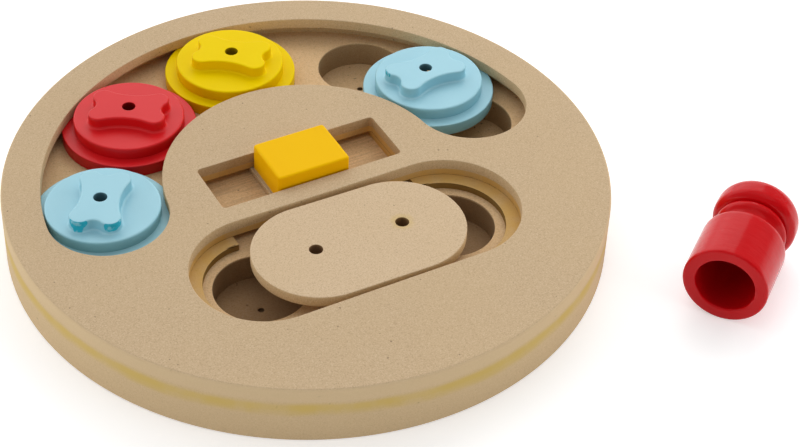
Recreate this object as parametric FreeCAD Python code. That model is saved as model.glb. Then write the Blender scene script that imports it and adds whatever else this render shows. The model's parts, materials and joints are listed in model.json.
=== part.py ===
# Dog puzzle feeder toy: a round layered board whose discs, slider block and lid slide over
# hidden treat wells, with a loose turned cup that lies on the floor beside it.
# Millimetres, +Z up. The origin is the centre of the board's underside, +X runs along the
# slider's slot and the lid's bay, and +Y points from the lid to the arc channel.
import FreeCAD, Part
import math
import os

# The four glued sheets of the board, from the floor up
BASE_THICK = 19.0
LOWER_TRACK_THICK = 3.5
UPPER_TRACK_THICK = 3.5
TOP_THICK = 5.5
RIM_WIDTH = 12.8
TOP_EDGE_ROUND = 1.3
BOTTOM_EDGE_ROUND = 1.2

# Treat wells drilled into the base sheet
WELL_DIAMETER = 45.0
WELL_DEPTH = 14.0
DRILL_POINT_DIAMETER = 3.0
DRILL_POINT_DEPTH = 1.5
ROW_WELL_ANGLES = (48.1, 90.0, 132.2)
ROW_WELL_OUTSET = 6.2

# Running gaps
FLOOR_GAP = 0.25
UNDER_LIP_GAP = 0.5
FLANGE_SIDE_GAP = 1.3
DISC_SIDE_GAP = 1.35
PLATE_SIDE_GAP = 0.4
AXLE_GAP = 0.1
DOWEL_HOLE_GAP = 0.1

# Turning discs
FLANGE_DIAMETER = 68.0
DISC_DIAMETER = 55.7
DISC_EDGE_ROUND = 1.0
FLANGE_EDGE_ROUND = 0.6
DISC_SUNK = 0.0
DISC_DOWEL_DIAMETER = 2.4
DOWEL_UNDER_BONE_TOP = 2.2
DOWEL_UNDER_DISC_TOP = 1.1

# Places of the discs along the channel, in degrees, and how far each stands outside its middle line
CHANNEL_END_ANGLE = 7.7
LEFT_BLUE_END_ANGLE = 4.5
RED_LEFT_BLUE_ANGLE = 0.75
YELLOW_RED_ANGLE = 0.05
RIGHT_BLUE_END_ANGLE = 16.85
LEFT_BLUE_OUTSET = 0.8
RED_OUTSET = 0.5
YELLOW_OUTSET = 0.4
RIGHT_BLUE_OUTSET = 0.0

# Bone-shaped handles, each glued on slightly off the middle of its disc
BONE_LENGTH = 38.6
BONE_WIDTH = 24.9
BONE_THICK = 5.9
BONE_LOBE_RADIUS = 5.4
BONE_WAIST = 19.2
BONE_NOTCH_DEPTH = 2.6
BONE_EDGE_ROUND = 0.9
BONE_HOLE_DIAMETER = 6.6
LEFT_BLUE_BONE_TURN = 58.0
RED_BONE_TURN = -32.0
YELLOW_BONE_TURN = -38.0
RIGHT_BLUE_BONE_TURN = 6.0
LEFT_BLUE_BONE_SHIFT = (-1.27, -1.05)
RED_BONE_SHIFT = (0.11, -0.41)
YELLOW_BONE_SHIFT = (0.7, -0.65)
RIGHT_BLUE_BONE_SHIFT = (-1.51, 1.08)

# Slider block and its slot
SLOT_LENGTH = 96.5
SLOT_CENTRE_Y = 9.0
SLOT_CORNER_ROUND = 2.0
BLOCK_LENGTH = 38.6
BLOCK_WIDTH = 29.6
BLOCK_PROUD = 6.3
BLOCK_EDGE_ROUND = 1.2
BLOCK_SIDE_GAP = 1.2
BLOCK_X = 0.87
BLOCK_PLATE_LENGTH = 39.8
BLOCK_PLATE_SHIFT = -0.2
BLOCK_PLATE_OVERHANG = 4.3
SLOT_TO_CHANNEL_WALL = 8.66

# Sliding lid, glued slightly askew on its plates, and its bay
LID_LENGTH = 106.6
LID_WIDTH = 64.8
LID_THICK = 5.5
LID_SUNK = 0.3
LID_X = 0.33
LID_IN_FRONT = 0.3
LID_TURN = -0.9
LID_EDGE_ROUND = 0.4
LID_SIDE_GAP = 3.2
LID_DOWEL_DIAMETER = 6.4
LID_HOLE_SPACING = 45.4
LID_HOLE_SHIFT = (0.53, 1.2)
LID_DOWEL_SUNK = 7.0
LID_PLATE_LENGTH = 58.0
LID_PLATE_OVERHANG = 3.0
LID_SPACER_WIDTH = 58.0
LID_TRAVEL = 38.2
LID_TRACK_X = -0.5
LID_WELL_SPACING = 100.4
LID_WELLS_BEHIND = 0.7
BAY_STRAIGHT = 96.6
BAY_LEDGE = 6.4
LEDGE_STRAIGHT = 96.0
SLOT_TO_LID_TRACK_WALL = 4.0

# Turned cup, lying on its side. Each place along it is counted from the mouth
CUP_DIAMETER = 41.3
CUP_WALL = 6.3
CUP_BORE_DEPTH = 33.0
CUP_BORE_FLOOR_ROUND = 4.0
CUP_LIP_ROUND = 1.2
CUP_SHOULDER_START = 30.5
CUP_SHOULDER_ROUND = 3.5
CUP_GROOVE_PLACE = 36.5
CUP_GROOVE_DEPTH = 5.5
CUP_BEAD_START = 41.0
CUP_BEAD_LENGTH = 5.0
CUP_BEAD_DEPTH = 3.0
CUP_CREASE_DEPTH = 4.2
CUP_HEAD_LENGTH = 16.4
CUP_HEAD_ROUND = 8.0
CUP_FROM_RIM = 59.2
CUP_DIRECTION = -46.35
CUP_TURN = 37.4

# Heights of the sheets
BASE_TOP = BASE_THICK
LOWER_TRACK_TOP = BASE_TOP + LOWER_TRACK_THICK
LIP_UNDERSIDE = LOWER_TRACK_TOP + UPPER_TRACK_THICK
BOARD_TOP = LIP_UNDERSIDE + TOP_THICK

# Slot: the block runs in the two upper sheets and its plate in a wider groove of the lower track sheet
SLOT_WIDTH = BLOCK_WIDTH + 2 * BLOCK_SIDE_GAP
BLOCK_PLATE_WIDTH = BLOCK_WIDTH + 2 * BLOCK_PLATE_OVERHANG
BLOCK_GROOVE_WIDTH = BLOCK_PLATE_WIDTH + 2 * PLATE_SIDE_GAP

# Lid bay: the lid runs in a rounded opening and its plate in a wider rectangular track
BAY_WIDTH = LID_WIDTH + 2 * LID_SIDE_GAP
LID_PLATE_WIDTH = BAY_WIDTH + 2 * LID_PLATE_OVERHANG
LID_TRACK_WIDTH = LID_PLATE_WIDTH + 2 * PLATE_SIDE_GAP
LID_TRACK_LENGTH = LID_PLATE_LENGTH + LID_TRAVEL
BAY_Y = SLOT_CENTRE_Y - BLOCK_GROOVE_WIDTH / 2 - SLOT_TO_LID_TRACK_WALL - LID_TRACK_WIDTH / 2
LID_Y = BAY_Y - LID_IN_FRONT

# Arc channel: the flanges run in a wide undercut and the discs in the narrower opening of the top sheet
CHANNEL_WIDTH = DISC_DIAMETER + 2 * DISC_SIDE_GAP
UNDERCUT_WIDTH = FLANGE_DIAMETER + 2 * FLANGE_SIDE_GAP
SLOT_FAR_CORNER = math.hypot(SLOT_LENGTH / 2, SLOT_CENTRE_Y + BLOCK_GROOVE_WIDTH / 2)
CHANNEL_RADIUS = SLOT_FAR_CORNER + SLOT_TO_CHANNEL_WALL + UNDERCUT_WIDTH / 2
BOARD_RADIUS = CHANNEL_RADIUS + UNDERCUT_WIDTH / 2 + RIM_WIDTH

# Angle between two discs whose flanges touch, and where each disc stands at rest
CONTACT_ANGLE = 2 * math.degrees(math.asin(FLANGE_DIAMETER / 2 / CHANNEL_RADIUS))
LEFT_BLUE_ANGLE = 180.0 - CHANNEL_END_ANGLE - LEFT_BLUE_END_ANGLE
RED_ANGLE = LEFT_BLUE_ANGLE - CONTACT_ANGLE - RED_LEFT_BLUE_ANGLE
YELLOW_ANGLE = RED_ANGLE - CONTACT_ANGLE - YELLOW_RED_ANGLE
RIGHT_BLUE_ANGLE = CHANNEL_END_ANGLE + RIGHT_BLUE_END_ANGLE

# Heights of a turning disc's pieces
FLANGE_LOW = BASE_TOP + FLOOR_GAP
FLANGE_HIGH = LIP_UNDERSIDE - UNDER_LIP_GAP
DISC_HIGH = BOARD_TOP - DISC_SUNK
BONE_HIGH = DISC_HIGH + BONE_THICK
SEEN_DOWEL_HIGH = BONE_HIGH - DOWEL_UNDER_BONE_TOP
HIDDEN_DOWEL_HIGH = DISC_HIGH - DOWEL_UNDER_DISC_TOP

# Heights of the plates that slide, and of what stands on them
PLATE_LOW = BASE_TOP + FLOOR_GAP
PLATE_HIGH = LOWER_TRACK_TOP - FLOOR_GAP
LID_HIGH = BOARD_TOP - LID_SUNK
LID_LOW = LID_HIGH - LID_THICK

EDGE_TOLERANCE = 0.01


def vec(x, y, z=0.0):
    return FreeCAD.Vector(x, y, z)


def on_circle(radius, angle):
    """Point on a circle about the board's centre, with the angle counted from +X in degrees."""
    turn = math.radians(angle)
    return radius * math.cos(turn), radius * math.sin(turn)


def cylinder(diameter, low, high, x=0.0, y=0.0):
    return Part.makeCylinder(diameter / 2, high - low, vec(x, y, low))


def prism(edges, low, high):
    """Solid between two heights whose outline is the closed chain of edges drawn at height 0."""
    face = Part.Face(Part.Wire(Part.__sortEdges__(edges)))
    solid = face.extrude(vec(0, 0, high - low))
    solid.translate(vec(0, 0, low))
    return solid


def arc(start, middle, end):
    return Part.Arc(vec(*start), vec(*middle), vec(*end)).toShape()


def segment(start, end):
    return Part.makeLine(vec(*start), vec(*end))


def bar(length, width, low, high, x, y):
    return Part.makeBox(length, width, high - low, vec(x - length / 2, y - width / 2, low))


def stadium(straight, width, low, high, x, y):
    """Bar with round ends: straight is the distance between the centres of the two ends."""
    half, radius = straight / 2, width / 2
    edges = [
        segment((x - half, y - radius), (x + half, y - radius)),
        arc((x + half, y - radius), (x + half + radius, y), (x + half, y + radius)),
        segment((x + half, y + radius), (x - half, y + radius)),
        arc((x - half, y + radius), (x - half - radius, y), (x - half, y - radius)),
    ]
    return prism(edges, low, high)


def arc_channel(width, low, high):
    """Space that a round cutter leaves as it follows the channel's middle line from end to end."""
    inner, outer = CHANNEL_RADIUS - width / 2, CHANNEL_RADIUS + width / 2
    right, left = CHANNEL_END_ANGLE, 180.0 - CHANNEL_END_ANGLE
    end_turn = math.radians(right)
    end_x, end_y = on_circle(CHANNEL_RADIUS, right)
    cap_x = end_x + width / 2 * math.sin(end_turn)
    cap_y = end_y - width / 2 * math.cos(end_turn)
    edges = [
        arc(on_circle(outer, right), (0.0, outer), on_circle(outer, left)),
        arc(on_circle(outer, left), (-cap_x, cap_y), on_circle(inner, left)),
        arc(on_circle(inner, left), (0.0, inner), on_circle(inner, right)),
        arc(on_circle(inner, right), (cap_x, cap_y), on_circle(outer, right)),
    ]
    return prism(edges, low, high)


def edges_at_height(solid, height):
    """Edges of a solid that lie flat at one height."""
    found = []
    for edge in solid.Edges:
        box = edge.BoundBox
        if abs(box.ZMin - height) < EDGE_TOLERANCE and abs(box.ZMax - height) < EDGE_TOLERANCE:
            found.append(edge)
    return found


def upright_edges(solid):
    return [edge for edge in solid.Edges if edge.BoundBox.ZLength > EDGE_TOLERANCE
            and edge.BoundBox.XLength < EDGE_TOLERANCE and edge.BoundBox.YLength < EDGE_TOLERANCE]


def round_edges(solid, radius, edges, wall):
    """Rounding of the edges, limited to just under the wall that it is cut from."""
    return solid.makeFillet(min(radius, 0.95 * wall), edges)


def slot_opening(low, high):
    opening = bar(SLOT_LENGTH, SLOT_WIDTH, low, high, 0.0, SLOT_CENTRE_Y)
    return round_edges(opening, SLOT_CORNER_ROUND, upright_edges(opening), SLOT_WIDTH / 2)


def bay_opening(low, high):
    return stadium(BAY_STRAIGHT, BAY_WIDTH, low, high, 0.0, BAY_Y)


def well_places():
    """Centres of the wells: the two ends of the channel, the row along it, and the two under the lid."""
    places = [on_circle(CHANNEL_RADIUS, angle) for angle in (CHANNEL_END_ANGLE, 180.0 - CHANNEL_END_ANGLE)]
    places += [on_circle(CHANNEL_RADIUS + ROW_WELL_OUTSET, angle) for angle in ROW_WELL_ANGLES]
    places += [(LID_TRACK_X + side * LID_WELL_SPACING / 2, BAY_Y + LID_WELLS_BEHIND) for side in (-1, 1)]
    return places


def base_board():
    board = cylinder(2 * BOARD_RADIUS, 0.0, BASE_TOP)
    board = round_edges(board, BOTTOM_EDGE_ROUND, edges_at_height(board, 0.0), BASE_THICK)
    well_floor = BASE_TOP - WELL_DEPTH
    for x, y in well_places():
        board = board.cut(cylinder(WELL_DIAMETER, well_floor, BASE_TOP, x, y))
        board = board.cut(cylinder(DRILL_POINT_DIAMETER, well_floor - DRILL_POINT_DEPTH, well_floor, x, y))
    return board


def lower_track_board():
    board = cylinder(2 * BOARD_RADIUS, BASE_TOP, LOWER_TRACK_TOP)
    groove = bar(SLOT_LENGTH, BLOCK_GROOVE_WIDTH, BASE_TOP, LOWER_TRACK_TOP, 0.0, SLOT_CENTRE_Y)
    lid_track = bar(LID_TRACK_LENGTH, LID_TRACK_WIDTH, BASE_TOP, LOWER_TRACK_TOP, LID_TRACK_X, BAY_Y)
    ledge_width = BAY_WIDTH - 2 * BAY_LEDGE
    inside_ledge = stadium(LEDGE_STRAIGHT, ledge_width, BASE_TOP, LOWER_TRACK_TOP, LID_TRACK_X, BAY_Y)
    for space in (arc_channel(UNDERCUT_WIDTH, BASE_TOP, LOWER_TRACK_TOP), groove, lid_track, inside_ledge):
        board = board.cut(space)
    return board


def upper_track_board():
    board = cylinder(2 * BOARD_RADIUS, LOWER_TRACK_TOP, LIP_UNDERSIDE)
    board = board.cut(arc_channel(UNDERCUT_WIDTH, LOWER_TRACK_TOP, LIP_UNDERSIDE))
    board = board.cut(slot_opening(LOWER_TRACK_TOP, LIP_UNDERSIDE))
    return board.cut(bay_opening(LOWER_TRACK_TOP, LIP_UNDERSIDE))


def top_board():
    board = cylinder(2 * BOARD_RADIUS, LIP_UNDERSIDE, BOARD_TOP)
    board = round_edges(board, TOP_EDGE_ROUND, edges_at_height(board, BOARD_TOP), TOP_THICK)
    board = board.cut(arc_channel(CHANNEL_WIDTH, LIP_UNDERSIDE, BOARD_TOP))
    board = board.cut(slot_opening(LIP_UNDERSIDE, BOARD_TOP))
    return board.cut(bay_opening(LIP_UNDERSIDE, BOARD_TOP))


def bore_for_dowel(solid, low, high, x, y):
    return solid.cut(cylinder(DISC_DOWEL_DIAMETER + 2 * AXLE_GAP, low, high, x, y))


def disc_flange(x, y):
    flange = cylinder(FLANGE_DIAMETER, FLANGE_LOW, FLANGE_HIGH, x, y)
    rim = edges_at_height(flange, FLANGE_HIGH)
    flange = round_edges(flange, FLANGE_EDGE_ROUND, rim, FLANGE_HIGH - FLANGE_LOW)
    return bore_for_dowel(flange, FLANGE_LOW, FLANGE_HIGH, x, y)


def upper_disc(x, y):
    disc = cylinder(DISC_DIAMETER, FLANGE_HIGH, DISC_HIGH, x, y)
    disc = round_edges(disc, DISC_EDGE_ROUND, edges_at_height(disc, DISC_HIGH), DISC_HIGH - FLANGE_HIGH)
    return bore_for_dowel(disc, FLANGE_HIGH, DISC_HIGH, x, y)


def bone_outline():
    """Four lobes joined by hollow arcs: a shallow one along each side and a small one in each end.

    Each hollow arc touches two lobes, so its radius follows from the lobes' centres and the arc's middle."""
    radius = BONE_LOBE_RADIUS
    lobe_x, lobe_y = BONE_LENGTH / 2 - radius, BONE_WIDTH / 2 - radius
    waist_rise = BONE_WAIST / 2 - lobe_y
    notch_rise = BONE_LENGTH / 2 - BONE_NOTCH_DEPTH - lobe_x
    waist_radius = (lobe_x ** 2 + waist_rise ** 2 - radius ** 2) / (2 * (radius - waist_rise))
    notch_radius = (lobe_y ** 2 + notch_rise ** 2 - radius ** 2) / (2 * (radius - notch_rise))
    waist_centre = BONE_WAIST / 2 + waist_radius
    notch_centre = lobe_x + notch_rise + notch_radius
    waist_share = radius / (radius + waist_radius)
    notch_share = radius / (radius + notch_radius)
    side_x, side_y = lobe_x * (1 - waist_share), lobe_y + (waist_centre - lobe_y) * waist_share
    end_x, end_y = lobe_x + (notch_centre - lobe_x) * notch_share, lobe_y * (1 - notch_share)
    corner = radius / math.sqrt(2)
    edges = []
    for sx in (-1, 1):
        edges.append(arc((sx * end_x, -end_y), (sx * (lobe_x + notch_rise), 0.0), (sx * end_x, end_y)))
        for sy in (-1, 1):
            edges.append(arc((sx * end_x, sy * end_y), (sx * (lobe_x + corner), sy * (lobe_y + corner)),
                             (sx * side_x, sy * side_y)))
    for sy in (-1, 1):
        edges.append(arc((-side_x, sy * side_y), (0.0, sy * BONE_WAIST / 2), (side_x, sy * side_y)))
    return edges


def bone(x, y, turn, shift):
    handle = prism(bone_outline(), DISC_HIGH, BONE_HIGH)
    handle = round_edges(handle, BONE_EDGE_ROUND, edges_at_height(handle, BONE_HIGH), BONE_THICK)
    handle = handle.cut(cylinder(BONE_HOLE_DIAMETER, DISC_HIGH, BONE_HIGH))
    handle.rotate(vec(0, 0), vec(0, 0, 1), turn)
    handle.translate(vec(x + shift[0], y + shift[1]))
    return bore_for_dowel(handle, DISC_HIGH, BONE_HIGH, x, y)


def turning_disc(name, place, bone_turn, bone_shift, dowel_high):
    x, y = place
    return {
        name + "_flange": disc_flange(x, y),
        name + "_disc": upper_disc(x, y),
        name + "_bone": bone(x, y, bone_turn, bone_shift),
        name + "_dowel": cylinder(DISC_DOWEL_DIAMETER, FLANGE_LOW, dowel_high, x, y),
    }


def slider_block():
    block = bar(BLOCK_LENGTH, BLOCK_WIDTH, PLATE_HIGH, BOARD_TOP + BLOCK_PROUD, BLOCK_X, SLOT_CENTRE_Y)
    edges = upright_edges(block) + edges_at_height(block, BOARD_TOP + BLOCK_PROUD)
    return round_edges(block, BLOCK_EDGE_ROUND, edges, BLOCK_WIDTH / 2)


def slider_guide_plate():
    return bar(BLOCK_PLATE_LENGTH, BLOCK_PLATE_WIDTH, PLATE_LOW, PLATE_HIGH,
               BLOCK_X + BLOCK_PLATE_SHIFT, SLOT_CENTRE_Y)


def lid_hole_place(side):
    along_x, along_y = on_circle(side * LID_HOLE_SPACING / 2, LID_TURN)
    return LID_X + LID_HOLE_SHIFT[0] + along_x, LID_Y + LID_HOLE_SHIFT[1] + along_y


def drill_lid_holes(solid, low, high):
    for side in (-1, 1):
        x, y = lid_hole_place(side)
        solid = solid.cut(cylinder(LID_DOWEL_DIAMETER + 2 * DOWEL_HOLE_GAP, low, high, x, y))
    return solid


def lid():
    plate = stadium(LID_LENGTH - LID_WIDTH, LID_WIDTH, LID_LOW, LID_HIGH, LID_X, LID_Y)
    plate = round_edges(plate, LID_EDGE_ROUND, edges_at_height(plate, LID_HIGH), LID_THICK)
    plate.rotate(vec(LID_X, LID_Y), vec(0, 0, 1), LID_TURN)
    return drill_lid_holes(plate, LID_LOW, LID_HIGH)


def lid_spacer():
    plate = bar(LID_PLATE_LENGTH, LID_SPACER_WIDTH, PLATE_HIGH, LID_LOW, LID_X, BAY_Y)
    return drill_lid_holes(plate, PLATE_HIGH, LID_LOW)


def lid_guide_plate():
    plate = bar(LID_PLATE_LENGTH, LID_PLATE_WIDTH, PLATE_LOW, PLATE_HIGH, LID_X, BAY_Y)
    return drill_lid_holes(plate, PLATE_LOW, PLATE_HIGH)


def lid_dowel(side):
    x, y = lid_hole_place(side)
    return cylinder(LID_DOWEL_DIAMETER, PLATE_LOW, LID_HIGH - LID_DOWEL_SUNK, x, y)


def quarter_round(start, corner, end):
    """Quarter circle from start to end that bulges towards the corner of their straight lines."""
    centre = (start[0] + end[0] - corner[0], start[1] + end[1] - corner[1])
    slant = math.sqrt(0.5)
    middle = (centre[0] + (corner[0] - centre[0]) * slant, centre[1] + (corner[1] - centre[1]) * slant)
    return arc(start, middle, end)


def cup_profile():
    """Half section of the cup, with the place along it as x and the radius as y."""
    outer, bore = CUP_DIAMETER / 2, CUP_DIAMETER / 2 - CUP_WALL
    lip, shoulder = CUP_LIP_ROUND, CUP_SHOULDER_ROUND
    bore_side_end, bore_floor_rim = CUP_BORE_DEPTH - CUP_BORE_FLOOR_ROUND, bore - CUP_BORE_FLOOR_ROUND
    shoulder_end = CUP_SHOULDER_START + shoulder
    crease = outer - CUP_CREASE_DEPTH
    bead_middle = CUP_BEAD_START + CUP_BEAD_LENGTH / 2
    head_start = CUP_BEAD_START + CUP_BEAD_LENGTH
    head_end = head_start + CUP_HEAD_LENGTH
    head_side_start, head_side_end = head_start + CUP_CREASE_DEPTH, head_end - CUP_HEAD_ROUND
    return [
        segment((CUP_BORE_DEPTH, 0.0), (CUP_BORE_DEPTH, bore_floor_rim)),
        quarter_round((CUP_BORE_DEPTH, bore_floor_rim), (CUP_BORE_DEPTH, bore), (bore_side_end, bore)),
        segment((bore_side_end, bore), (lip, bore)),
        quarter_round((lip, bore), (0.0, bore), (0.0, bore + lip)),
        segment((0.0, bore + lip), (0.0, outer - lip)),
        quarter_round((0.0, outer - lip), (0.0, outer), (lip, outer)),
        segment((lip, outer), (CUP_SHOULDER_START, outer)),
        quarter_round((CUP_SHOULDER_START, outer), (shoulder_end, outer), (shoulder_end, outer - shoulder)),
        arc((shoulder_end, outer - shoulder), (CUP_GROOVE_PLACE, outer - CUP_GROOVE_DEPTH),
            (CUP_BEAD_START, crease)),
        arc((CUP_BEAD_START, crease), (bead_middle, outer - CUP_BEAD_DEPTH), (head_start, crease)),
        quarter_round((head_start, crease), (head_start, outer), (head_side_start, outer)),
        segment((head_side_start, outer), (head_side_end, outer)),
        quarter_round((head_side_end, outer), (head_end, outer), (head_end, outer - CUP_HEAD_ROUND)),
        segment((head_end, outer - CUP_HEAD_ROUND), (head_end, 0.0)),
        segment((head_end, 0.0), (CUP_BORE_DEPTH, 0.0)),
    ]


def treat_cup():
    face = Part.Face(Part.Wire(Part.__sortEdges__(cup_profile())))
    cup = face.revolve(vec(0, 0), vec(1, 0), 360)
    cup.rotate(vec(0, 0), vec(0, 0, 1), CUP_TURN)
    mouth_x, mouth_y = on_circle(BOARD_RADIUS + CUP_FROM_RIM, CUP_DIRECTION)
    cup.translate(vec(mouth_x, mouth_y, CUP_DIAMETER / 2))
    return cup


def all_nodes():
    nodes = {
        "base_board": base_board(),
        "lower_track_board": lower_track_board(),
        "upper_track_board": upper_track_board(),
        "top_board": top_board(),
        "slider_block": slider_block(),
        "slider_guide_plate": slider_guide_plate(),
        "lid": lid(),
        "lid_spacer": lid_spacer(),
        "lid_guide_plate": lid_guide_plate(),
        "lid_dowel_left": lid_dowel(-1),
        "lid_dowel_right": lid_dowel(1),
        "treat_cup": treat_cup(),
    }
    left_blue_place = on_circle(CHANNEL_RADIUS + LEFT_BLUE_OUTSET, LEFT_BLUE_ANGLE)
    red_place = on_circle(CHANNEL_RADIUS + RED_OUTSET, RED_ANGLE)
    yellow_place = on_circle(CHANNEL_RADIUS + YELLOW_OUTSET, YELLOW_ANGLE)
    right_blue_place = on_circle(CHANNEL_RADIUS + RIGHT_BLUE_OUTSET, RIGHT_BLUE_ANGLE)
    for disc in (
        ("left_blue", left_blue_place, LEFT_BLUE_BONE_TURN, LEFT_BLUE_BONE_SHIFT, HIDDEN_DOWEL_HIGH),
        ("red", red_place, RED_BONE_TURN, RED_BONE_SHIFT, HIDDEN_DOWEL_HIGH),
        ("yellow", yellow_place, YELLOW_BONE_TURN, YELLOW_BONE_SHIFT, HIDDEN_DOWEL_HIGH),
        ("right_blue", right_blue_place, RIGHT_BLUE_BONE_TURN, RIGHT_BLUE_BONE_SHIFT, SEEN_DOWEL_HIGH),
    ):
        nodes.update(turning_disc(*disc))
    return nodes


def write_parts():
    os.makedirs("parts", exist_ok=True)
    for name, solid in all_nodes().items():
        solid.exportStep("parts/" + name + ".step")
        low, high = solid.BoundBox.ZMin, solid.BoundBox.ZMax
        print(f"{name}: volume {solid.Volume:.0f}, valid {solid.isValid()}, z {low:.2f}..{high:.2f}")
    print(f"board radius {BOARD_RADIUS:.2f}, channel radius {CHANNEL_RADIUS:.2f}, bay y {BAY_Y:.2f}")
    angles = (LEFT_BLUE_ANGLE, RED_ANGLE, YELLOW_ANGLE, RIGHT_BLUE_ANGLE)
    print("disc angles", ", ".join(f"{angle:.2f}" for angle in angles), f"contact {CONTACT_ANGLE:.2f}")


write_parts()
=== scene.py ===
"""Looks of a dog puzzle feeder toy: a round layered board, four turning discs with bone handles,
a slider block, a sliding lid and a loose turned cup, in a plain pale studio."""
import json
import math
import bmesh
import bpy
import numpy as np
from bpy.props import FloatProperty, FloatVectorProperty, PointerProperty
from mathutils import Matrix, Vector
from mathutils.geometry import delaunay_2d_cdt


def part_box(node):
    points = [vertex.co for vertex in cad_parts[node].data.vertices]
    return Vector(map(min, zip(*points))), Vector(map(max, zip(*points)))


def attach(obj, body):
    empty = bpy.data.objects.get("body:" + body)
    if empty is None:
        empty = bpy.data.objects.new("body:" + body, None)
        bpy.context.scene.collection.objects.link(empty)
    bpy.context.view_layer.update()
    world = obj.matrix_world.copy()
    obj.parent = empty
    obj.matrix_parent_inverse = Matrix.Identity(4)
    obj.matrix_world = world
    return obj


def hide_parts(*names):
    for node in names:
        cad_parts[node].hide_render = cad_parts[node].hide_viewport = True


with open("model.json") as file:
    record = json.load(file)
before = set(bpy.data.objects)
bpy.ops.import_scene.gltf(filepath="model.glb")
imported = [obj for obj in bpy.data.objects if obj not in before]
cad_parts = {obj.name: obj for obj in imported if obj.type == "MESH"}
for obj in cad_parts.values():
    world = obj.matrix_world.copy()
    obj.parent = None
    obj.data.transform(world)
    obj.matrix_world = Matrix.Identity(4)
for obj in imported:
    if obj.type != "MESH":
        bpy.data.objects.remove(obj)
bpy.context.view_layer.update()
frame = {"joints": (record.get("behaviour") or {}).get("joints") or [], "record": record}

bl_info = {
    "name": "Dog puzzle feeder",
    "version": (1, 0, 0),
    "blender": (4, 5, 0),
    "location": "View3D > Sidebar > Puzzle",
    "description": "Builds the visible pieces of a dog puzzle feeder toy and its studio",
    "category": "Object",
}

CAD_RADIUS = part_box("top_board")[1].x
JOINTS = {joint["name"]: joint for joint in frame["joints"]}
OPENINGS = {box["name"]: np.array(box["box_m"]) for box in frame["record"]["physics"]["openings"]}

MM = 0.001
MERGE = 2e-7  # vertices of a piece that lie closer than this are joined
SHARP = math.radians(32)
CHAMFER = 0.3 * MM  # worn edges of dowels and bores
MARGIN = 0.3 * MM  # ring of a face beside its rounded edge, which keeps the rest of the face evenly shaded
RIM_STEPS, CUP_STEPS, ROUND_STEPS, WELL_STEPS, HOLE_STEPS = 360, 144, 128, 96, 48

# Paint of each disc, and the turn of its bone handle in degrees
DISCS = {"left_blue": ("blue", 58.0), "red": ("red", -32.0), "yellow": ("yellow", -38.0),
         "right_blue": ("blue", 6.0)}
PAINT_GLOSS = {"blue": 0.45, "red": 0.35, "yellow": 0.04}
# Drops of older paint on the bones: place along and across the handle, rise from its foot, and radius, in mm
DROPS = {
    "left_blue": [(-18.6, 9.4, 4.3, 3.0), (-19.3, 7.0, 4.1, 3.0), (-18.9, 4.9, 4.6, 2.4),
                  (-19.2, 7.3, 1.8, 2.8), (-19.2, -7.4, 3.9, 2.8), (-18.4, -9.6, 4.2, 3.0),
                  (-16.6, -11.6, 4.8, 2.4)],
    "right_blue": [(-19.2, 6.6, 4.9, 1.8), (-19.0, 8.6, 5.2, 1.7)],
}

# Fineness of the patterns, per metre
FIBRES, CLUMPS, PITS, CLOUDS = 1500.0, 520.0, 480.0, 26.0

# Power setting, place and size of each lamp
LAMPS = {
    "key_light": ("key", (0.8, 0.7, 1.1), 1.0),
    "left_light": ("side", (-1.5, 0.0, 0.32), 0.8),
    "right_light": ("side", (1.4, 0.2, 0.5), 0.8),
    "front_light": ("side", (0.9, -1.2, 0.4), 0.8),
}
# Soft edges of the room's parts: two by the rise of the direction, the panel's by how far it faces +Y
HORIZON_EDGE, CEILING_EDGE, PANEL_EDGE = (0.14, 0.2), (0.78, 0.88), (0.62, 0.68)
FLOOR_HALF = 6.0
SENSOR_WIDTH = 36.0


def srgb(red, green, blue):
    """Linear colour of a screen colour whose channels run from 0 to 255."""
    share = np.array((red, green, blue)) / 255.0
    return tuple(np.where(share <= 0.04045, share / 12.92, ((share + 0.055) / 1.055) ** 2.4).tolist())


def length(name, description, millimetres):
    return FloatProperty(name=name, description=description, default=millimetres * MM, min=0.0,
                         subtype="DISTANCE", unit="LENGTH", precision=5)


def angle(name, description, degrees):
    return FloatProperty(name=name, description=description, default=math.radians(degrees),
                         subtype="ANGLE", unit="ROTATION")


def colour(name, description, *screen):
    return FloatVectorProperty(name=name, description=description, subtype="COLOR", size=3,
                               min=0.0, max=1.0, default=srgb(*screen))


def amount(name, description, value, high=10.0):
    return FloatProperty(name=name, description=description, default=value, min=0.0, max=high)


def number(name, description, value):
    return FloatProperty(name=name, description=description, default=value)


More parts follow.
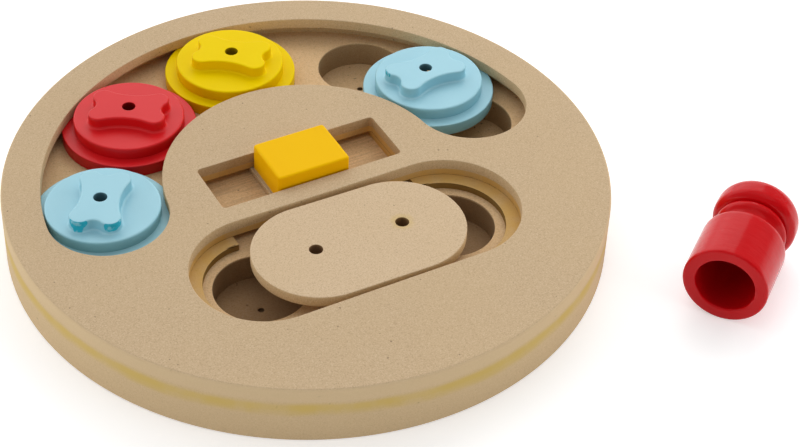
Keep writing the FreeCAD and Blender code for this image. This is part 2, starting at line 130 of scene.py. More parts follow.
class BoardLook(bpy.types.PropertyGroup):
    """Sizes and colours of the four glued sheets."""
    top_round: length("Top rounding", "Rounding of the rim at the top face", 1.3)
    bottom_round: length("Bottom rounding", "Rounding of the rim at the underside", 1.2)
    edge_ease: length("Cut edge", "Wear of the openings' upper edges", 0.35)
    channel_radius: length("Channel radius", "Radius of the arc channel's middle line", 100.0)
    channel_width: length("Channel", "Width of the arc channel in the top sheet", 58.4)
    undercut_width: length("Undercut", "Width of the arc channel in the track sheets", 70.6)
    channel_end: angle("Channel end", "Angle of the channel's right end from the slot's direction", 7.7)
    slot_length: length("Slot length", "Length of the slider's slot", 96.5)
    slot_width: length("Slot width", "Width of the slider's slot", 32.0)
    slot_groove: length("Slot groove", "Width of the groove for the slider's plate", 39.0)
    slot_corner: length("Slot corner", "Rounding of the slot's corners", 2.0)
    slot_y: length("Slot place", "Distance of the slot from the board's middle", 9.0)
    milling: amount("Milling", "Strength of the milling streaks on the slot's floor", 0.3, 1.0)
    bay_straight: length("Bay straight", "Distance between the centres of the lid bay's ends", 96.6)
    bay_y: FloatProperty(name="Bay place", description="Place of the lid bay across the board",
                         default=-0.0535, subtype="DISTANCE", unit="LENGTH", precision=5)
    bay_width: length("Bay width", "Width of the lid bay", 71.2)
    ledge: length("Ledge", "Width of the ledge round the lid bay's ends", 6.4)
    ledge_straight: length("Ledge straight", "Distance between the centres of the ledge's ends", 96.0)
    track_length: length("Lid track length", "Length of the track for the lid's plate", 96.2)
    track_width: length("Lid track width", "Width of the track for the lid's plate", 78.0)
    track_left: length("Lid track offset", "How far the lid's track lies to the left of the bay", 0.5)
    well_diameter: length("Well", "Diameter of the treat wells", 45.0)
    well_depth: length("Well depth", "Depth of the treat wells", 14.0)
    point_diameter: length("Drill point", "Diameter of the mark in a well's middle", 3.0)
    point_depth: length("Drill point depth", "Depth of the mark in a well's middle", 1.5)
    face: colour("Face", "Sanded face of the sheets", 201, 175, 140)
    cut: colour("Cut", "Sawn and milled edges of the sheets", 207, 179, 137)
    # Paler than the face: painted light that makes up for the shade on the floors of the channel and the
    # slot.
    inside: colour("Inside", "Base sheet's face in the channel and the slot", 222, 185, 138)
    fibre_dark: colour("Dark fibre", "Dark specks of the fibre board", 158, 130, 98)
    fibre_light: colour("Light fibre", "Light specks of the fibre board", 226, 207, 176)
    glue: colour("Glue", "Rim where glue has stained it", 208, 178, 98)
    # Painted light: laid over the rim to make it paler, most of all near the top sheet.
    rim_top: colour("Upper rim", "Rim of the sheets, palest at the top sheet", 217, 191, 151)
    bay_glue: colour("Glue in the bay", "Glue-stained ledges and walls of the lid bay", 208, 165, 86)
    # Painted shade in the wells under the lid and in the peg holes; on the other wells' walls it is partly
    # drill scorch and partly painted shade; it also darkens the slot's walls.
    scorch: colour("Scorch", "Drilled wells, and walls of the peg holes", 104, 67, 35)
    # Painted shade laid over the glue-stained walls under the ledges of the lid bay.
    ledge_wall: colour("Ledge wall", "Milled wall under the ledge of the lid bay", 112, 84, 30)
    # Real pits and joints, and also painted shade in the drill mark of each well.
    pit: colour("Pit", "Dark pits of the fibre board, and the joints between sheets", 92, 70, 46)


class DiscLook(bpy.types.PropertyGroup):
    """Sizes and colours of the turning discs and their bone handles."""
    disc_ease: length("Disc edge", "Rounding of the discs' upper edges", 1.0)
    flange_ease: length("Flange edge", "Rounding of the flanges' upper edges", 0.6)
    bone_length: length("Bone length", "Length of a bone handle", 38.6)
    bone_width: length("Bone width", "Width of a bone handle over its lobes", 24.9)
    bone_lobe: length("Bone lobe", "Radius of a lobe", 5.4)
    bone_waist: length("Bone waist", "Width of a bone handle at its middle", 19.2)
    bone_notch: length("Bone notch", "Depth of the hollow in each end", 2.6)
    bone_ease: length("Bone edge", "Rounding of the bones' upper edges", 0.9)
    pooled_paint: length("Pooled paint", "Fillet of paint where a bone meets its disc", 1.3)
    hole_diameter: length("Hole", "Diameter of the hole through a bone", 6.6)
    bore_diameter: length("Bore", "Diameter of the dowel's bore in a disc", 2.6)
    blue: colour("Blue", "Light blue paint", 160, 210, 224)
    red: colour("Red", "Red paint", 218, 24, 30)
    yellow: colour("Yellow", "Yellow paint", 242, 210, 0)
    chip: colour("Chip", "Glossy drops of older paint on the blue bones", 0, 165, 190)
    dowel: colour("Dowel", "End grain of the dowels", 214, 188, 150)


class SliderLook(bpy.types.PropertyGroup):
    """Size and colour of the slider block."""
    block_ease: length("Block edge", "Rounding of the block's edges", 1.2)
    block_corner: length("Block corner", "Rounding of the block's upright edges", 1.7)
    plate_ease: length("Plate edge", "Wear of the guide plate's edges", 0.3)
    plate_corner: length("Plate corner", "Rounding of the guide plate's corners", 1.0)
    bare: length("Bare foot", "Height to which the block's foot is left unpainted", 1.9)
    paint: colour("Paint", "Orange-yellow paint of the block", 246, 192, 4)


class LidLook(bpy.types.PropertyGroup):
    """Sizes of the sliding lid."""
    board_length: length("Lid length", "Length of the lid", 106.6)
    board_width: length("Lid width", "Width of the lid", 64.8)
    askew: angle("Askew", "Turn at which the lid is glued on its spacer", -0.9)
    face: colour("Face", "Sanded face of the lid", 212, 186, 152)
    edge_ease: length("Lid edge", "Rounding of the lid's edges", 0.4)
    hole_diameter: length("Lid hole", "Diameter of the lid's peg holes", 6.6)


class CupLook(bpy.types.PropertyGroup):
    """Sizes and colour of the turned cup, with each place counted from its mouth."""
    from_rim: length("From the rim", "Distance of the mouth from the board's rim", 59.2)
    direction: angle("Direction", "Direction of the mouth from the board's middle", -46.35)
    turn: angle("Turn", "Direction of the cup's axis, from its mouth to its head", 37.4)
    diameter: length("Diameter", "Outer diameter", 41.3)
    wall: length("Wall", "Thickness of the wall round the bore", 6.3)
    bore_depth: length("Bore depth", "Depth of the bore", 33.0)
    bore_round: length("Bore rounding", "Rounding where the bore meets its floor", 4.0)
    lip_round: length("Lip rounding", "Rounding of the mouth's edges", 1.2)
    shoulder: length("Shoulder", "Place where the body starts to round off", 30.5)
    shoulder_round: length("Shoulder rounding", "Rounding of the body's shoulder", 3.5)
    groove: length("Groove", "Place of the groove's deepest line", 36.5)
    groove_depth: length("Groove depth", "Depth of the groove", 5.5)
    bead: length("Bead", "Place where the bead starts", 41.0)
    bead_length: length("Bead length", "Length of the bead", 5.0)
    bead_depth: length("Bead depth", "Depth of the bead's top below the cup's surface", 3.0)
    crease_depth: length("Crease depth", "Depth of the creases beside the bead", 4.2)
    head_length: length("Head length", "Length of the head", 16.4)
    head_round: length("Head rounding", "Rounding of the head's end", 8.0)
    lacquer: colour("Lacquer", "Glossy red lacquer", 200, 3, 12)


class StageLook(bpy.types.PropertyGroup):
    """The photograph's camera, and the studio."""
    azimuth: number("Azimuth", "Camera's direction round the toy, in degrees", -29.774)
    elevation: number("Elevation", "Camera's height above the horizon, in degrees", 39.461)
    roll: number("Roll", "Turn of the camera about its view, in degrees", 2.247)
    distance: length("Distance", "Distance of the camera from its target", 976.05)
    target: FloatVectorProperty(name="Target", description="Point the camera looks at", size=3,
                                subtype="XYZ", unit="LENGTH", default=(0.045, 0.0, 0.015))
    lens: number("Lens", "Focal length in millimetres", 87.37)
    shift_x: number("Shift X", "Sideways shift of the frame", 0.0151)
    shift_y: number("Shift Y", "Upward shift of the frame", -0.0647)
    floor: colour("Floor", "Pale floor", 238, 238, 238)
    glow: amount("Floor glow", "Brightness that the camera sees on top of the floor's own light", 0.4)
    wall: amount("Walls", "Brightness of the room's walls", 0.4)
    panel: amount("Panel", "Brightness of the white panel beyond the toy", 1.55)
    ceiling: amount("Ceiling", "Brightness of the room's ceiling", 0.7)
    key: amount("Key light", "Power of the soft light above, in watts", 4.5, 500.0)
    side: amount("Side lights", "Power of the low light at each side, in watts", 5.0, 500.0)


class Wire:
    """A socket of a material, so that shader maths is written as an expression."""

    def __init__(self, maker, socket):
        self.maker = maker
        self.socket = socket

    def math(self, operation, *others):
        values = dict(enumerate((self, *others)))
        return self.maker.add("ShaderNodeMath", {"operation": operation}, values)

    def __add__(self, other):
        return self.math("ADD", other)

    __radd__ = __add__

    def __mul__(self, other):
        return self.math("MULTIPLY", other)

    __rmul__ = __mul__

    def __sub__(self, other):
        return self.math("SUBTRACT", other)

    def __rsub__(self, other):
        return self.maker.add("ShaderNodeMath", {"operation": "SUBTRACT"}, {0: other, 1: self})

    def step(self, low, high):
        """Smooth rise from 0 at low to 1 at high."""
        return self.maker.add("ShaderNodeMapRange", {"interpolation_type": "SMOOTHSTEP"},
                              {"Value": self, "From Min": low, "From Max": high})

    def fall(self, low, high):
        """Smooth fall from 1 at low to 0 at high."""
        return 1.0 - self.step(low, high)

    def near(self, middle, low, high):
        """1 up to the distance low from a value, falling to 0 at the distance high."""
        return (self - middle).math("ABSOLUTE").fall(low, high)


class Nodes:
    """A node tree, to which nodes are added as expressions."""

    def __init__(self, tree):
        self.tree = tree

    def put(self, socket, value):
        if isinstance(value, Wire):
            self.tree.links.new(value.socket, socket)
        else:
            socket.default_value = value

    def add(self, kind, settings=(), values=(), out=0):
        """A node of one type: its settings first, then the values or links of its sockets."""
        node = self.tree.nodes.new(kind)
        for key, value in dict(settings).items():
            setattr(node, key, value)
        for key, value in dict(values).items():
            self.put(node.inputs[key], value)
        return Wire(self, node.outputs[out])

    def split(self, vector):
        first = self.add("ShaderNodeSeparateXYZ", values={0: vector})
        return [Wire(self, socket) for socket in first.socket.node.outputs]


class Maker(Nodes):
    """Node tree of one material: its Principled shader, where each point lies and how level it is there (1 on
    a level face, 0 on an upright one), and the tone that the stains build up."""

    def __init__(self, name, tone):
        self.material = bpy.data.materials.new(name)
        self.material.use_nodes = True
        super().__init__(self.material.node_tree)
        self.shader = self.tree.nodes["Principled BSDF"]
        self.tone = tone
        self.place = self.add("ShaderNodeTexCoord", out="Object")
        self.x, self.y, self.z = self.split(self.place)
        normal = self.add("ShaderNodeTexCoord", out="Normal")
        self.level = self.split(normal)[2].math("ABSOLUTE")

    def mix(self, factor, first, second):
        first, second = [value if isinstance(value, Wire) else (*value, 1.0) for value in (first, second)]
        return self.add("ShaderNodeMix", {"data_type": "RGBA"}, {0: factor, 6: first, 7: second}, out=2)

    def stain(self, mask, colour):
        """Lays a colour over the tone where the mask is 1."""
        self.tone = self.mix(mask, self.tone, colour)

    def scaled(self, scale):
        return self.add("ShaderNodeMapping", values={"Vector": self.place, "Scale": scale})

    def noise(self, per_metre, detail=2.0, roughness=0.5, stretch=None):
        vector = self.scaled(stretch) if stretch else self.place
        return self.add("ShaderNodeTexNoise", values={"Vector": vector, "Scale": per_metre, "Detail": detail,
                                                      "Roughness": roughness})

    def from_point(self, point, place=None):
        values = {0: place or self.place, 1: point}
        return self.add("ShaderNodeVectorMath", {"operation": "DISTANCE"}, values, out="Value")

    def from_axis(self, centre=(0.0, 0.0)):
        """Distance from the upright line through a centre."""
        return self.from_point((*centre, 0.0), self.scaled((1.0, 1.0, 0.0)))

    def shade(self, height=None, distance=0.0, strength=0.7, **values):
        """Sets the shader's sockets, named with an underscore for each blank, and the bump from a height."""
        values["Base_Color"] = self.tone if isinstance(self.tone, Wire) else (*self.tone, 1.0)
        if height is not None:
            values["Normal"] = self.add(
                "ShaderNodeBump", values={"Height": height, "Distance": distance, "Strength": strength})
        for key, value in values.items():
            self.put(self.shader.inputs[key.replace("_", " ")], value)
        return self.material


def dimmed(tone, share, power=1.0):
    return tuple(channel ** power * share for channel in tone)


def edge_mask(maker):
    """1 on sawn and milled edges, which stand upright."""
    return maker.level.fall(0.35, 0.9)


def rim_mask(maker):
    return maker.from_axis().step(CAD_RADIUS - 2.0 * MM, CAD_RADIUS - 0.5 * MM)


def slot_mask(maker, look):
    """1 in the slider's slot and on the sheets' edges round it."""
    return maker.x.near(0.0, 49.0 * MM, 50.0 * MM) * maker.y.near(look.slot_y, 20.0 * MM, 21.0 * MM)


def patch_mask(maker):
    """Uneven patches in which glue shows more."""
    return maker.noise(70.0, 3.0, stretch=(1.0, 1.0, 0.6)).step(0.3, 0.6)


def drilled_wells(maker, look):
    """Darker wells, a dark mark in the middle of each floor painted as shade, and milling streaks in the
    slot.

    The two wells under the lid are darkened all over as painted shade of the lid, and the others on their
    walls, partly as drill scorch and partly as painted shade."""
    low, top = heights("base_board")
    floor = top - look.well_depth
    drilled = (1.0 - rim_mask(maker)) * maker.z.step(low + 1.0 * MM, low + 1.5 * MM)
    sunk = maker.z.fall(top - 1.2 * MM, top - 0.5 * MM)
    # Painted shade of the lid over the two wells under it.
    lid_shade = maker.y.fall(-20.0 * MM, 0.0)
    share = lid_shade * 0.6 + edge_mask(maker) * (1.0 - lid_shade) * 0.42
    maker.stain(drilled * sunk * share, look.scorch)
    # Painted shade in the drill mark at the middle of each floor.
    maker.stain(drilled * maker.z.fall(floor - 0.3 * MM, floor - 0.1 * MM) * 0.85, look.pit)
    streaks = maker.noise(800.0, 3.0, stretch=(0.05, 1.0, 1.0)).step(0.42, 0.62)
    maker.stain(slot_mask(maker, look) * streaks * look.milling, look.fibre_dark)


def darkened_slot_walls(maker, look):
    """Browner walls in the slot."""
    maker.stain(slot_mask(maker, look) * edge_mask(maker) * 0.3, look.scorch)


def glued_tracks(maker, look):
    """Glue round the lid bay and the slot, painted shade over the glue on the walls under the bay's ledges,
    and a dark joint.
    """
    inner, edge, patches = 1.0 - rim_mask(maker), edge_mask(maker), patch_mask(maker)
    joint = heights("upper_track_board")[0]
    bay = maker.y.near(look.bay_y, 38.0 * MM, 42.0 * MM) * inner
    darkened_slot_walls(maker, look)
    maker.stain(bay * (patches * 0.35 + 0.5), look.bay_glue)
    maker.stain(slot_mask(maker, look) * edge * (patches * 0.4 + 0.3), look.bay_glue)
    # Painted shade on the walls under the bay's ledges.
    maker.stain(bay * edge * maker.z.fall(joint - 0.2 * MM, joint + 0.1 * MM) * 0.75, look.ledge_wall)
    maker.stain(maker.z.near(joint, 0.05 * MM, 0.3 * MM) * inner * edge * 0.7, look.pit)


def stained_rim(maker, look):
    """Glue run out of the rim's joints: a wide wandering band and a narrow streak, under painted light that
    makes the rim paler, most of all near its top.
    """
    z, rim, patches = maker.z, rim_mask(maker), patch_mask(maker)
    low, high = heights("lower_track_board")[0], heights("upper_track_board")[1]
    wander = (maker.noise(24.0, 3.0, stretch=(1.0, 1.0, 3.0)) - 0.5) * (5.0 * MM)
    # Painted light on the rim, stronger towards its top edge.
    upper = (z + wander * 0.5).step(high - 3.0 * MM, high - 0.5 * MM)
    maker.stain(rim * maker.level.fall(0.72, 1.0) * (upper * 0.35 + 0.45), look.rim_top)
    moved = z + wander
    band = moved.step(low - 5.0 * MM, low - 1.0 * MM) * moved.fall(high - 5.0 * MM, high - 1.5 * MM)
    maker.stain(rim * band * (patches * 0.35 + 0.35), look.glue)
    streak = (z + wander * 0.4).near(low + 1.4 * MM, 0.8 * MM, 2.6 * MM)
    maker.stain(rim * streak * (patches * 0.35 + 0.3), look.glue)


def peg_holes(maker, look):
    """Painted shade on the walls of the lid's peg holes, and a glue stain round the right one."""
    for side in ("left", "right"):
        away = maker.from_axis(centre_of("lid_dowel_" + side))
        if side == "right":
            ragged = away + (maker.noise(300.0) - 0.5) * (4.0 * MM)
            maker.stain(ragged.fall(3.5 * MM, 7.0 * MM) * 0.4, look.glue)
        # Painted shade inside each peg hole.
        maker.stain(away.fall(3.5 * MM, 3.8 * MM) * edge_mask(maker) * 0.8, look.scorch)


def fibre_board(name, look, face, *details):
    """Raw fibre board: fine light and dark fibres, sparse pits, and browner sawn edges.

    Each detail is a function that stains one kind of piece."""
    maker = Maker(name, tuple(face))
    fine = maker.noise(FIBRES, 3.0, 0.65)
    coarse = maker.noise(CLUMPS)
    maker.stain(edge_mask(maker), look.cut)
    maker.stain(fine.step(0.52, 0.72) * 0.5, look.fibre_light)
    maker.stain(fine.fall(0.3, 0.5) * 0.5, look.fibre_dark)
    maker.stain(coarse.step(0.5, 0.8) * 0.12, look.fibre_dark)
    maker.stain(maker.noise(CLOUDS, 3.0).step(0.35, 0.7) * 0.14, look.cut)
    maker.stain(maker.noise(PITS, 0.0).fall(0.11, 0.18) * 0.55, look.pit)
    for detail in details:
        detail(maker, look)
    return maker.shade(fine + coarse * 0.6, 0.07 * MM, Roughness=0.86 - fine * 0.12, Specular_IOR_Level=0.25)


def paint(name, tone, gloss, side_soak_and_shade=0.7, drops=None, raw=None, hole=None):
    """Brushed-on satin paint over fibre board: slightly uneven, and deeper in tone on upright sides, partly
    from paint soaked into the cut edges and partly as painted shade.

    drops are balls, given as centre and radius, and the colour of the paint in them. raw is a height and a
    colour: below that height the board is left unpainted. hole is the place and the radius of the peg hole,
    which is painted dark inside as shade."""
    maker = Maker(name, tone)
    side = maker.level.fall(0.3, 0.95)
    cloud = maker.noise(45.0, 3.0)
    fine = maker.noise(900.0, 3.0, 0.6)
    brush = maker.noise(260.0, stretch=(1.0, 0.35, 1.0))
    # Upright sides deeper in tone: partly paint soaked into the cut edges, partly painted shade.
    maker.stain(side * side_soak_and_shade + cloud.step(0.4, 0.75) * 0.12, dimmed(tone, 0.9, 1.5))
    maker.stain(fine.step(0.62, 0.85) * 0.25 * (1.0 - side), dimmed(tone, 1.0, 0.9))
    if raw is not None:
        height, board = raw
        ragged = maker.z + (maker.noise(260.0, 3.0) - 0.5) * (1.2 * MM)
        maker.stain(ragged.fall(height - 0.2 * MM, height + 0.2 * MM), board)
    if hole is not None:
        centre, radius = hole
        # Painted shade inside the peg hole.
        inner = maker.from_axis(centre).fall(radius - 0.1 * MM, radius + 0.2 * MM)
        maker.stain(inner * 0.85, dimmed(tone, 0.06))
    rough = 0.36 + (fine - 0.5) * 0.16 + (cloud - 0.5) * 0.1
    if drops is not None:
        balls, older = drops
        drop = drop_mask(maker, balls) * maker.level.fall(0.75, 0.95)
        light = maker.noise(420.0, 1.0).step(0.5, 0.72)
        maker.stain(drop * 0.95, maker.mix(light * 0.55, older, tone))
        rough = rough - drop * 0.25
    height = fine * 0.35 + brush * 0.4 + cloud * 1.2
    return maker.shade(height, 0.12 * MM, Roughness=rough, Specular_IOR_Level=gloss)


def drop_mask(maker, balls):
    """1 inside any of the balls, with a ragged edge, and 0 outside."""
    ragged = (maker.noise(500.0) - 0.5) * (0.9 * MM)
    mask = None
    for centre, radius in balls:
        one = (maker.from_point(centre) + ragged).fall(radius * 0.85, radius)
        mask = one if mask is None else mask.math("MAXIMUM", one)
    return mask


def lacquer(name, look, mouth):
    """Glossy lacquer on turned wood: fine rings round the axis, and a dull bore darkened with painted shade.
    """
    tone = tuple(look.lacquer)
    maker = Maker(name, tone)
    maker.place = maker.add("ShaderNodeMapping", {"vector_type": "TEXTURE"}, {
        "Vector": maker.place, "Location": mouth, "Rotation": (0.0, 0.0, look.turn)})
    along, across, up = maker.split(maker.place)
    cloud = maker.noise(60.0, 3.0)
    fine = maker.noise(800.0)
    rings = maker.noise(1.0, stretch=(620.0, 0.0, 0.0))
    wobble = maker.noise(150.0, stretch=(3.0, 1.0, 1.0))
    maker.stain(cloud.step(0.35, 0.75) * 0.25, dimmed(tone, 0.8))
    bore_radius = look.diameter / 2 - look.wall
    radius = (across * across + up * up).math("SQRT")
    bore = radius.fall(bore_radius + 0.1 * MM, bore_radius + 0.7 * MM) * along.step(0.4 * MM, 2.0 * MM) \
        * along.fall(look.bore_depth + 1.0 * MM, look.bore_depth + 2.0 * MM)
    # Painted shade inside the bore.
    maker.stain(bore * 0.25, dimmed(tone, 0.3))
    rough = 0.15 + (fine - 0.5) * 0.08 + bore * 0.3
    height = rings * 0.8 + wobble * 1.2 + cloud * 1.5
    return maker.shade(height, 0.14 * MM, 0.8, Roughness=rough, Specular_IOR_Level=0.21)


def dowel_wood(name, tone):
    """Light dowel: end grain with small dark pores and long grain down the side."""
    maker = Maker(name, tuple(tone))
    grain = maker.noise(1400.0, 3.0, 0.6, stretch=(1.0, 1.0, 0.08))
    maker.stain(grain.step(0.35, 0.7) * 0.5, dimmed(tone, 0.6))
    maker.stain(maker.noise(2600.0, 1.0).fall(0.25, 0.4) * 0.5, dimmed(tone, 0.35))
    return maker.shade(grain, 0.08 * MM, Roughness=0.75 - grain * 0.1)


def circle(diameter, centre, steps):
    """Points at even angles round a centre."""
    turn = np.linspace(0.0, 2 * math.pi, steps, endpoint=False)
    return np.stack([np.cos(turn), np.sin(turn)], 1) * diameter / 2 + np.array(centre)


def arc_points(centre, radius, start, end, steps):
    """Points on an arc from one angle to another, both ends included."""
    turn = np.linspace(start, end, steps)
    return np.stack([np.cos(turn), np.sin(turn)], 1) * radius + np.array(centre)


def stadium(straight, width, centre, steps=72):
    """Two half circles whose centres lie straight apart along X."""
    half = np.array((straight / 2, 0.0))
    centre = np.array(centre)
    right = arc_points(centre + half, width / 2, -math.pi / 2, math.pi / 2, steps)
    left = arc_points(centre - half, width / 2, math.pi / 2, 3 * math.pi / 2, steps)
    return np.concatenate([right, left])


def rounded_box(size, centre, corner, steps=9):
    """Four quarter circles at the corners of a rectangle."""
    half = np.array(size) / 2 - corner
    parts = []
    for index, signs in enumerate(((1, 1), (-1, 1), (-1, -1), (1, -1))):
        middle = np.array(centre) + half * signs
        parts.append(arc_points(middle, corner, index * math.pi / 2, (index + 1) * math.pi / 2, steps))
    return np.concatenate(parts)


def arc_band(radius, width, end, steps=180):
    """Outline of a disc's path when its centre follows an arc about the origin, from end to pi - end."""
    ends = [np.array((math.cos(turn), math.sin(turn))) * radius for turn in (end, math.pi - end)]
    outer = arc_points((0.0, 0.0), radius + width / 2, end, math.pi - end, steps)
    left = arc_points(ends[1], width / 2, math.pi - end, 2 * math.pi - end, 60)[1:-1]
    inner = arc_points((0.0, 0.0), radius - width / 2, math.pi - end, end, steps)
    right = arc_points(ends[0], width / 2, end - math.pi, end, 60)[1:-1]
    return np.concatenate([outer, left, inner, right])


def track_outline(look, centre, steps=60):
    """Opening of the lower track sheet: a rectangle with a narrower half circle past each end."""
    half, side = look.track_length / 2, look.track_width / 2
    straight, radius = look.ledge_straight / 2, look.bay_width / 2 - look.ledge
    parts = []
    for sign, facing in ((1, 0.0), (-1, math.pi)):
        parts += [
            np.array([(half, -side), (half, -radius)]) * sign,
            arc_points((sign * straight, 0.0), radius, facing - math.pi / 2, facing + math.pi / 2, steps),
            np.array([(half, radius), (half, side)]) * sign,
        ]
    return np.concatenate(parts) + np.array(centre)


def bone_outline(look, centre, turn, steps=22):
    """Four lobes joined by hollow arcs that touch them, as a closed ring about the handle's middle."""
    lobe = look.bone_lobe
    lobe_x, lobe_y = look.bone_length / 2 - lobe, look.bone_width / 2 - lobe
    waist_rise = look.bone_waist / 2 - lobe_y
    notch_rise = look.bone_length / 2 - look.bone_notch - lobe_x
    waist = (lobe_x ** 2 + waist_rise ** 2 - lobe ** 2) / (2 * (lobe - waist_rise))
    notch = (lobe_y ** 2 + notch_rise ** 2 - lobe ** 2) / (2 * (lobe - notch_rise))
    waist_angle = math.atan2(look.bone_waist / 2 + waist - lobe_y, lobe_x)
    notch_angle = math.atan2(lobe_y, lobe_x + notch_rise + notch - lobe_x)
    quarter = [
        arc_points((lobe_x + notch_rise + notch, 0.0), notch, math.pi, math.pi - notch_angle, steps // 2),
        arc_points((lobe_x, lobe_y), lobe, -notch_angle, math.pi - waist_angle, steps)[1:],
        arc_points((0.0, look.bone_waist / 2 + waist), waist, -waist_angle, -math.pi / 2, steps)[1:],
    ]
    upper = np.concatenate(quarter)
    upper_left = upper[::-1][1:] * (-1, 1)
    half = np.concatenate([upper, upper_left])
    ring = np.concatenate([half, (half * (1, -1))[::-1][1:-1]])
    return turned(ring, turn, centre)


def turned(ring, turn, centre):
    """A ring about the origin, turned and moved to a centre."""
    cos, sin = math.cos(turn), math.sin(turn)
    return ring @ np.array([[cos, sin], [-sin, cos]]) + np.array(centre)


def mitres(points):
    """Outward direction at each corner of a closed ring, as long as a step of 1 off both of its sides."""
    side = np.roll(points, -1, 0) - points
    side /= np.linalg.norm(side, axis=1, keepdims=True)
    out = np.stack([side[:, 1], -side[:, 0]], 1)
    before = np.roll(out, 1, 0)
    return (out + before) / (1 + (out * before).sum(1, keepdims=True))


def clean_ring(points):
    """The ring without repeated points, turning anticlockwise."""
    keep = np.linalg.norm(points - np.roll(points, 1, 0), axis=1) > 1e-6
    points = points[keep]
    ahead = np.roll(points, -1, 0)
    area = (points[:, 0] * ahead[:, 1] - points[:, 1] * ahead[:, 0]).sum()
    return points if area > 0 else points[::-1]


def rounding(radius, steps=7):
    """Quarter circle as pairs of inset and rise: from the side (0, 0) to the flat (radius, radius)."""
    turn = np.linspace(0.0, math.pi / 2, steps if radius > 0 else 1)
    return np.stack([radius * (1 - np.cos(turn)), radius * np.sin(turn)], 1)


def wall_profile(low, high, low_round, high_round):
    """Insets and heights from the flat underside, round both edges, to the flat top."""
    under = rounding(low_round)[::-1]
    over = rounding(high_round)
    under = np.stack([under[:, 0], low + low_round - under[:, 1]], 1)
    over = np.stack([over[:, 0], high - high_round + over[:, 1]], 1)
    first = [(low_round + MARGIN, low)]
    last = [(high_round + MARGIN, high)]
    return np.concatenate([first, under, over, last])


def quads(rows, columns):
    """Faces of a grid whose columns close on themselves."""
    row, column = np.meshgrid(np.arange(rows - 1), np.arange(columns), indexing="ij")
    ahead = (column + 1) % columns
    corners = (row * columns + column, row * columns + ahead, (row + 1) * columns + ahead,
               (row + 1) * columns + column)
    return np.stack(corners, -1).reshape(-1, 4)


def carried(points, profile, sign):
    """A profile carried along a ring. Insets go into the solid: inwards for sign -1, outwards for 1."""
    out = mitres(points)
    inset, height = profile[:, 0], profile[:, 1]
    flat = points[None] + sign * out[None] * inset[:, None, None]
    tall = np.broadcast_to(height[:, None, None], (*flat.shape[:2], 1))
    return np.concatenate([flat, tall], 2)


def inside(points, ring):
    """Whether the ring crosses each point's level an odd number of times to the point's right."""
    a, b = ring, np.roll(ring, -1, 0)
    x, y = points[:, :1], points[:, 1:]
    crosses = (a[:, 1] > y) != (b[:, 1] > y)
    rise = np.where(b[:, 1] == a[:, 1], 1.0, b[:, 1] - a[:, 1])
    at = a[:, 0] + (y - a[:, 1]) * (b[:, 0] - a[:, 0]) / rise
    return (crosses & (at > x)).sum(1) % 2 == 1


def flat_fill(rings, height):
    """Triangles that fill the first ring and leave the others open."""
    points = np.concatenate(rings)
    edges, first = [], 0
    for ring in rings:
        index = np.arange(len(ring))
        edges += np.stack([first + index, first + (index + 1) % len(ring)], 1).tolist()
        first += len(ring)
    found = delaunay_2d_cdt([Vector(point) for point in points.tolist()], edges, [], 0, 1e-9)
    flat = np.array([tuple(point) for point in found[0]])
    faces = np.array([face for face in found[2]])
    middle = flat[faces].mean(1)
    solid = inside(middle, rings[0])
    for hole in rings[1:]:
        solid &= ~inside(middle, hole)
    return np.column_stack([flat, np.full(len(flat), height)]), faces[solid]


def new_object(name, data):
    thing = bpy.data.objects.new(name, data)
    bpy.context.scene.collection.objects.link(thing)
    return thing


class Shape:
    """Vertices and faces of a piece, gathered from surfaces and turned into one closed mesh."""

    def __init__(self):
        self.points, self.faces, self.count = [], [], 0

    def take(self, points, faces):
        self.points.append(points.reshape(-1, 3))
        self.faces += (faces + self.count).tolist()
        self.count += len(self.points[-1])

    def surface(self, grid):
        self.take(grid, quads(*grid.shape[:2]))

    def piece(self, name, body, slot, material, node):
        mesh = bpy.data.meshes.new(name)
        mesh.from_pydata(np.concatenate(self.points).tolist(), [], self.faces)
        shape = bmesh.new()
        shape.from_mesh(mesh)
        bmesh.ops.remove_doubles(shape, verts=shape.verts, dist=MERGE)
        bmesh.ops.dissolve_degenerate(shape, edges=shape.edges, dist=MERGE)
        bmesh.ops.recalc_face_normals(shape, faces=shape.faces)
        shape.to_mesh(mesh)
        shape.free()
        mesh.shade_smooth()
        mesh.set_sharp_from_angle(angle=SHARP)
        mesh.materials.append(material)
        piece = new_object(name, mesh)
        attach(piece, body)
        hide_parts(node)


def plate(outer, outer_profile, holes=()):
    """Flat piece from a ring and its profile, with holes given as pairs of ring and profile."""
    shape = Shape()
    outer = clean_ring(outer)
    grids = [carried(outer, outer_profile, -1)]
    grids += [carried(clean_ring(ring), profile, 1) for ring, profile in holes]
    for grid in grids:
        shape.surface(grid)
    for row in (0, -1):
        shape.take(*flat_fill([grid[row, :, :2] for grid in grids], grids[0][row, 0, 2]))
    return shape


def revolved(profile, centre, steps):
    """A profile of radii and heights carried round an upright axis."""
    turn = np.linspace(0.0, 2 * math.pi, steps, endpoint=False)
    radius, height = profile[:, 0, None], profile[:, 1, None]
    around = (centre[0] + radius * np.cos(turn), centre[1] + radius * np.sin(turn), height + 0 * turn)
    return np.stack(around, 2)


def washer(centre, inner, outer, low, high, ease):
    """Disc with a hole, as one closed profile carried round its axis, its upper edges rounded."""
    shape = Shape()
    side = wall_profile(low, high, 0.0, ease)
    side[:, 0] = outer - side[:, 0]
    bore = wall_profile(low, high, 0.0, CHAMFER)[::-1]
    bore[:, 0] = inner + bore[:, 0]
    shape.surface(revolved(np.concatenate([side, bore, side[:1]]), centre, ROUND_STEPS))
    return shape


